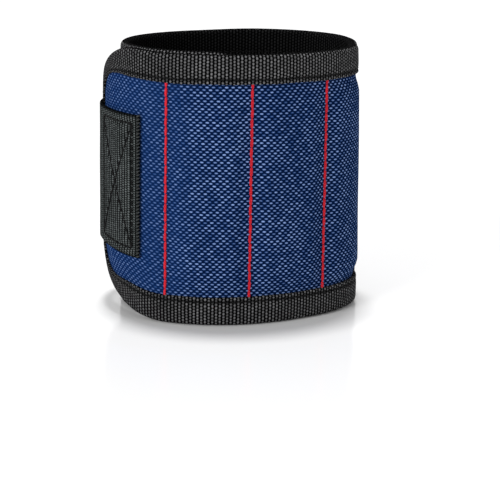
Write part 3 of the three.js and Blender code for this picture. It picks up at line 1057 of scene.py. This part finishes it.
# The seams start under the binding, and their stitches lean, sway and touch, with their ends sunk.
SEAM_HIDDEN = 1
SEAM_SHARE = 1.04
SEAM_REST_SHARE = 0.3
SEAM_SINK = 0.08
BOBBIN_SINK = -0.2
SEAM_LEAN = 0.12
SEAM_SWAY = 0.06
SEAM_SWAY_PACE = 1.3
SEAM_RAISED = 0.2
BOBBIN_SUNK = 0.12


def upright_stitches(length, offset, sink):
    """A row of stitches up the band at one length, which lean and sway a little."""
    low = BINDING_WIDTH - SEAM_HIDDEN
    starts = np.arange(low, BAND_HEIGHT - low - SEAM_REST_SHARE * SEAM_PITCH, SEAM_PITCH)
    share = np.linspace(0, 1, 9)
    heights = starts[:, None] + share * SEAM_PITCH * SEAM_SHARE
    depth = offset - sink * np.abs(2 * share - 1) ** 3
    sway = SEAM_SWAY * np.sin(starts * SEAM_SWAY_PACE)[:, None]
    lean = SEAM_LEAN * (share - 0.5)
    return band.at(length + (lean + sway), depth, heights), band.outward(length)


def make_seams():
    """Rows of red thread across the band, which make the pockets, with black bobbin thread inside."""
    for number, span in enumerate(SPANS[: POCKET_COUNT + 1]):
        seam = number * POCKET_WIDTH
        stitches = upright_stitches(seam, SHELL_EDGE[0] + SEAM_RAISED, SEAM_SINK)
        span.sew(f"red_seam_{span.name}", stitches, SEAM_THREAD, RED_THREAD, "shell_fabric", sides=7)
        stitches = upright_stitches(seam, LINING_EDGE[1] - BOBBIN_SUNK, BOBBIN_SINK)
        span.sew(f"lining_seam_{span.name}", stitches, BOBBIN_THREAD, BLACK_THREAD, "lining_mesh", sides=7)


# The loop panel, soft pile on the outer face of the tail

# Its rounded edge, the row of stitches in its margin, and its fuzz.
PANEL_ROUNDING = 0.5
PANEL_MARGIN = 1.6
PANEL_GROOVE = 0.12
PANEL_GROOVE_WIDTH = 0.5
PANEL_FUZZ = 0.05
PANEL_FUZZ_WAVES = ((2.1, 1.3), (-0.9, 1.9))
PANEL_STITCH_SUNK = 0.02
PANEL_RIM = np.array([0.0, 0.15, 0.4, 0.8, 1.4])


def panel_end():
    aside = max(0.0, LOOP_END_CORNER - PANEL_LOW)
    inset = LOOP_END_CORNER - math.sqrt((LOOP_END_CORNER - RISE_START) ** 2 - aside**2)
    return BAND_FINISH - inset


def strip_heights(low, rim, step):
    """Heights across a strip that starts at low and is centred on the band, closer together at its rims."""
    edge = low + rim
    middle = steps(edge[-1], BAND_HEIGHT - edge[-1], step)
    return np.concatenate([edge[:-1], middle, (BAND_HEIGHT - edge[:-1])[::-1]])


def panel_level(length, height):
    from_edge = np.minimum(length - POCKETS_END, panel_end() - length)
    from_edge = np.minimum(from_edges(height, PANEL_LOW), from_edge)
    fuzz = PANEL_FUZZ
    for along, across in PANEL_FUZZ_WAVES:
        fuzz = fuzz * np.sin(length * along + height * across)
    groove = PANEL_GROOVE * hump(from_edge - PANEL_MARGIN, PANEL_GROOVE_WIDTH)
    outer = PANEL_LEVEL[0] - edge_drop(from_edge, PANEL_ROUNDING) + fuzz - groove
    return outer, PANEL_LEVEL[1] + 0 * length


def make_loop_panel():
    heights = strip_heights(PANEL_LOW, PANEL_RIM, PANEL_STEP)[None, :]
    row = PANEL_LOW + PANEL_MARGIN
    for stretch in STRETCHES:
        if stretch.last <= POCKETS_END:
            continue
        first = max(stretch.first, POCKETS_END + LAYER_GAP / 2)
        lengths = steps(first, min(stretch.last, panel_end()), CLOTH_STEP)
        obj = sheet(f"loop_panel_{stretch.name}", band, lengths[:, None], heights, panel_level, PILE)
        nodes = [f"loop_panel_{body}" for body in stretch.bodies if body.startswith("loop")]
        stretch.dress(obj, "loop_pile", nodes)
        for side, height in (("low", row), ("high", BAND_HEIGHT - row)):
            route = beside(lengths, height, 0, 0)
            stitches = route_stitches(route, 0, PANEL_LEVEL[0] - PANEL_STITCH_SUNK, **PANEL_STITCH)
            name = f"panel_stitches_{side}_{stretch.name}"
            stretch.sew(name, stitches, FINE_THREAD, BLACK_THREAD, "loop_pile")


# The strap

# The strap is drawn thinner than its solid, and its free tail thinner still, where the hook tape sits.
STRAP_SHOWN = 0.85
HOOK_SEAT = 0.32
STRAP_ROUNDING = 0.5
STRAP_END_ROUNDING = 0.55
STRAP_RIM = np.array([0.0, 0.12, 0.35, 0.7, 1.2])
STRAP_BEND_SHARE = 0.9
STRAP_RIPPLE = 0.05
STRAP_RIPPLE_PACE = 1.7

# The strap's stitched box and cross, and the thread that wraps its cut edge.
BOX_FIRST = 22.5
BOX_FROM_HEM = 2.9
BOX_LAST = STRAP_SEWN - BOX_FROM_HEM
BOX_INSET = 3.0
BOX_PITCH = 2.4
BOX_FILL_SHARE = 0.9
BOX_GROOVE = 0.45
BOX_GROOVE_WIDTH = 0.75
BOX_STITCH_SUNK = 0.22
BOX_STITCH_SINK = 0.14
HEM_PITCH = 1.15
HEM_DEPTH = 0.4
HEM_OUT = 0.15
HEM_LIFT = 0.1
HEM_LEAN_SHARE = 0.25
HEM_FIRST = 0.5
HEM_LAST = 0.2
HEM_TURN_SHARES = np.linspace(-0.15, 1, 7)
HEM_ROUNDNESS = 0.6
HEM_RIDGE = 0.1
HEM_RIDGE_START = 0.3
HEM_RIDGE_RUN = 0.8
HEM_RIDGE_STOP = 0.6
BORDER_RIDGE = 0.12
BORDER_START = 0.4
BORDER_RUN = 0.8
BORDER_STOP = 2


def list_strap_stretches():
    """The strap's stretches, each with the solid that it stands for."""
    reach = STRAP_ROOT_LENGTH / 2
    peel = -STRAP_ROOT_LENGTH
    sewn = Stretch("strap_sewn", strap, reach, STRAP_SEWN, ("strap_end",))
    free = Stretch("strap_free", strap, -STRAP_REACH, peel - reach, ("strap_tail",))
    pieces = [(sewn, "strap_sewn_part"), (free, "strap_tail")]
    for name, middle, bodies in (
        ("strap_bend_base", 0.0, ("strap_end", "strap_root")),
        ("strap_bend_peel", peel, ("strap_root", "strap_tail")),
    ):
        bend = (middle + STRAP_BEND_SHARE * reach, middle - STRAP_BEND_SHARE * reach)
        pieces.append((Stretch(name, strap, middle - reach, middle + reach, bodies, bend), "strap_root"))
    return pieces


STRAP_PIECES = list_strap_stretches()
SEWN_STRAP = STRAP_PIECES[0][0]
FREE_STRAP = STRAP_PIECES[1][0]


def line_distance(length, height, start, end):
    """Distance from points on the flat strap to the stretch from start to end."""
    ax, ay = start
    bx, by = end
    share = ((length - ax) * (bx - ax) + (height - ay) * (by - ay)) / ((bx - ax) ** 2 + (by - ay) ** 2)
    share = np.clip(share, 0, 1)
    return np.hypot(length - mix(ax, bx, share), height - mix(ay, by, share))


def box_lines():
    """The stitched box and its two diagonals, on the flat strap."""
    low = STRAP_LOW + BOX_INSET
    high = BAND_HEIGHT - low
    corners = [(BOX_FIRST, low), (BOX_LAST, low), (BOX_LAST, high), (BOX_FIRST, high)]
    sides = [(corners[k], corners[(k + 1) % 4]) for k in range(4)]
    return sides + [(corners[0], corners[2]), (corners[1], corners[3])]


def strap_level(length, height):
    """Outer and inner face of the webbing, sunk along its stitches and rounded at its edges."""
    from_edge = from_edges(height, STRAP_LOW)
    to_hem = STRAP_SEWN - length
    outer = STRAP_SHOWN - edge_drop(np.minimum(from_edge, to_hem), STRAP_ROUNDING)
    outer = outer - edge_drop(length + STRAP_REACH, STRAP_END_ROUNDING)
    sunk = 0
    for start, end in box_lines():
        sunk = np.maximum(sunk, hump(line_distance(length, height, start, end), BOX_GROOVE_WIDTH))
    hem = HEM_RIDGE * smooth(length - BOX_LAST - HEM_RIDGE_START, HEM_RIDGE_RUN)
    hem = hem * smooth(to_hem, HEM_RIDGE_STOP)
    border = BORDER_RIDGE * smooth(BOX_INSET - BORDER_START - from_edge, BORDER_RUN)
    border = border * smooth(length - BOX_FIRST, BORDER_STOP)
    soft = STRAP_RIPPLE * ripple(length * STRAP_RIPPLE_PACE, height * STRAP_RIPPLE_PACE, seed=9.0)
    inner = HOOK_SEAT * smooth(-STRAP_ROOT_LENGTH / 2 - length, STRAP_ROOT_LENGTH)
    return outer - BOX_GROOVE * sunk + hem + border + soft, inner


def strap_lengths(stretch):
    """Lengths of a piece of the strap, stepped by angle where its free end turns its corners."""
    if stretch is not FREE_STRAP:
        return steps(stretch.first, stretch.last, STRAP_STEP)
    angles = np.linspace(QUARTER_TURN, 0, 12)[:-1]
    turned = stretch.first + STRAP_CORNER * (1 - np.sin(angles))
    return np.concatenate([turned, steps(stretch.first + STRAP_CORNER, stretch.last, STRAP_STEP)])


def make_strap():
    rows = strip_heights(STRAP_LOW, STRAP_RIM, STRAP_ROW_STEP)[None, :]
    shares = (rows - STRAP_LOW) / STRAP_HEIGHT
    for stretch, node_name in STRAP_PIECES:
        lengths = strap_lengths(stretch)[:, None]
        past = np.clip(STRAP_CORNER - (lengths + STRAP_REACH), 0, None)
        inset = STRAP_CORNER - np.sqrt(np.clip(STRAP_CORNER**2 - past**2, 0, None))
        heights = STRAP_LOW + inset + (STRAP_HEIGHT - 2 * inset) * shares
        obj = sheet(stretch.name, strap, lengths, heights, strap_level, STRAP)
        stretch.dress(obj, "strap_webbing", [node_name])


def make_strap_stitches():
    """Black stitches along the box and its diagonals."""
    for number, (start, end) in enumerate(box_lines()):
        start, end = np.array(start), np.array(end)
        count = round(np.linalg.norm(end - start) / BOX_PITCH)
        spots = (np.arange(count)[:, None] + 0.5 + STITCH_SHARES * BOX_FILL_SHARE) / count
        length = mix(start[0], end[0], spots)
        height = mix(start[1], end[1], spots)
        offset = STRAP_SHOWN - BOX_STITCH_SUNK - BOX_STITCH_SINK * STITCH_SINKING
        stitches = strap.at(length, offset, height), strap.outward(length)
        name = f"strap_stitches_{number + 1}"
        SEWN_STRAP.sew(name, stitches, STRAP_THREAD, BLACK_THREAD, "strap_webbing")


def make_hem_stitches():
    """Close grey stitches that wrap the cut edge of the strap where it is sewn down."""
    rows = np.arange(STRAP_LOW + HEM_FIRST, BAND_HEIGHT - STRAP_LOW - HEM_LAST, HEM_PITCH)[:, None]
    angle = HEM_TURN_SHARES * QUARTER_TURN
    length = STRAP_SEWN - HEM_DEPTH + (HEM_DEPTH + HEM_OUT) * np.sin(angle)
    offset = (STRAP_SHOWN + HEM_LIFT) * np.cos(angle) ** HEM_ROUNDNESS
    height = rows + HEM_LEAN_SHARE * np.sin(angle) * HEM_PITCH
    stitches = strap.at(length, offset, height), strap.outward(length)
    SEWN_STRAP.sew("strap_hem_stitches", stitches, STRAP_THREAD, GREY_THREAD, "strap_webbing")


# Hooks on the inner face of the strap's free tail.
HOOK_PLATE = 0.2
HOOK_MARGIN = 3
HOOK_PITCH = 1.5
HOOK_TALL = 0.3
HOOK_ROOT = 0.18
HOOK_CURL = 0.8 * HALF_TURN
HOOK_LEAN_SHARE = 0.55
HOOK_RISE_SHARE = 0.9
HOOK_TURN_SHARE = 0.95
HOOK_TURN_START = 0.05
HOOK_THREAD = 0.09


def hook_plate_level(length, height):
    return HOOK_SEAT, HOOK_SEAT - HOOK_PLATE


def make_hooks():
    """Hook tape on the inner face of the strap's free tail."""
    first = FREE_STRAP.first + HOOK_MARGIN
    last = FREE_STRAP.last - 1
    low = STRAP_LOW + HOOK_MARGIN
    lengths = steps(first, last, HOOK_PITCH)[:, None]
    heights = steps(low, BAND_HEIGHT - low, HOOK_PITCH)[None, :]
    plate = sheet("hook_plate", strap, lengths, heights, hook_plate_level, NYLON)
    FREE_STRAP.dress(plate, "strap_webbing")
    spots = np.meshgrid(
        np.arange(first + 1, last - 0.5, HOOK_PITCH),
        np.arange(low + 1, BAND_HEIGHT - low - 0.5, HOOK_PITCH),
    )
    length, height = (grid.ravel()[:, None] for grid in spots)
    angle = np.linspace(0, HOOK_CURL, 5)
    lean = np.where(np.round((height - low) / HOOK_PITCH) % 2 == 0, 1.0, -1.0)
    along = length + lean * HOOK_TALL * HOOK_LEAN_SHARE * (1 - np.cos(angle))
    risen = np.sin(angle * HOOK_TURN_SHARE + HOOK_TURN_START)
    depth = HOOK_SEAT - HOOK_ROOT - HOOK_TALL * HOOK_RISE_SHARE * risen
    stitches = strap.at(along, depth, height), np.array([0.0, 0.0, 1.0])
    FREE_STRAP.sew("hooks", stitches, HOOK_THREAD, NYLON, "strap_webbing", sides=4)


make_cloth("shell", shell_level, SHELL, "shell_fabric")
for lining_piece in make_cloth("lining", lining_level, LINING, "lining_mesh"):
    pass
make_bindings()
make_seams()
make_loop_panel()
make_strap()
make_strap_stitches()
make_hem_stitches()
make_hooks()

for node_name, node in frame["nodes"].items():
    if node_name.startswith("magnet_"):
        node.data.materials.clear()
        node.data.materials.append(NICKEL)


# Floor, light and camera

WHITE = (1, 1, 1, 1)
FLOOR_GREY = (0.88, 0.88, 0.88, 1)
FLOOR_REACH = 6000
FLOOR_DROP = 0.2
FLOOR_GLOW_SHARE = 0.05
WORLD_LIGHT = 0.45
CAMERA_DISTANCE = 595.1
CAMERA_RISE = math.radians(10.94)
AIM = (6.16, 0.0, 16.62)
AIM_ROLL = math.radians(1.01)
LENS = 123.0
SENSOR = 36.0


def make_floor():
    """A pale floor that shows white to the camera and keeps the band's shadow."""
    mesh = bpy.data.meshes.new("floor")
    square = ((-1, -1), (1, -1), (1, 1), (-1, 1))
    corners = [(x * FLOOR_REACH, y * FLOOR_REACH, -FLOOR_DROP) for x, y in square]
    mesh.from_pydata((np.array(corners) * MM).tolist(), [], [(0, 1, 2, 3)])
    floor = add("floor", mesh)
    finish = Finish("pale_floor")
    finish.set(Base_Color=FLOOR_GREY, Roughness=0.15, Specular_IOR_Level=0.3)
    glow = finish.node("ShaderNodeEmission", {"Color": WHITE, "Strength": 1.0})
    finish.show(finish.times(finish.ray("Is Camera Ray"), FLOOR_GLOW_SHARE), finish.lit, glow)
    mesh.materials.append(finish.material)


def make_world():
    """White where it is seen, and dimmer where it lights the band."""
    world = bpy.data.worlds.new("studio")
    bpy.context.scene.world = world
    world.use_nodes = True
    nodes = Nodes(world.node_tree, "ShaderNodeOutputWorld")
    seen = nodes.ray("Is Camera Ray")
    for kind in ("Is Glossy Ray", "Is Transmission Ray"):
        seen = nodes.math("MAXIMUM", seen, nodes.ray(kind))
    light = nodes.node("ShaderNodeBackground", {"Color": WHITE, "Strength": WORLD_LIGHT})
    white = nodes.node("ShaderNodeBackground", {"Color": WHITE, "Strength": 1.0})
    nodes.show(seen, light, white)


def add_sun(name, toward, strength, spread):
    """A soft distant light that shines along toward."""
    light = bpy.data.lights.new(name, "SUN")
    light.energy = strength
    light.angle = math.radians(spread)
    add(name, light).rotation_euler = Vector(toward).to_track_quat("-Z", "Y").to_euler()


def make_camera():
    centre = np.array([*POLE, 0.0])
    back = CAMERA_DISTANCE * math.cos(CAMERA_RISE)
    up = CAMERA_DISTANCE * math.sin(CAMERA_RISE)
    eye = centre + [0, -back, BAND_HEIGHT / 2 + up]
    data = bpy.data.cameras.new("camera")
    data.lens = LENS
    data.sensor_width = SENSOR
    camera = add("camera", data)
    look = Vector(centre + AIM - eye).to_track_quat("-Z", "Y").to_matrix().to_4x4()
    camera.matrix_world = Matrix.Translation(Vector(eye * MM)) @ look @ Matrix.Rotation(AIM_ROLL, 4, "Z")
    bpy.context.scene.camera = camera


make_floor()
make_world()
add_sun("key", (0.66, 0.72, -0.4), strength=1.62, spread=25)
add_sun("top", (0.04, -0.16, -1.0), strength=2.3, spread=10)
make_camera()
bpy.context.scene.view_settings.view_transform = "Standard"
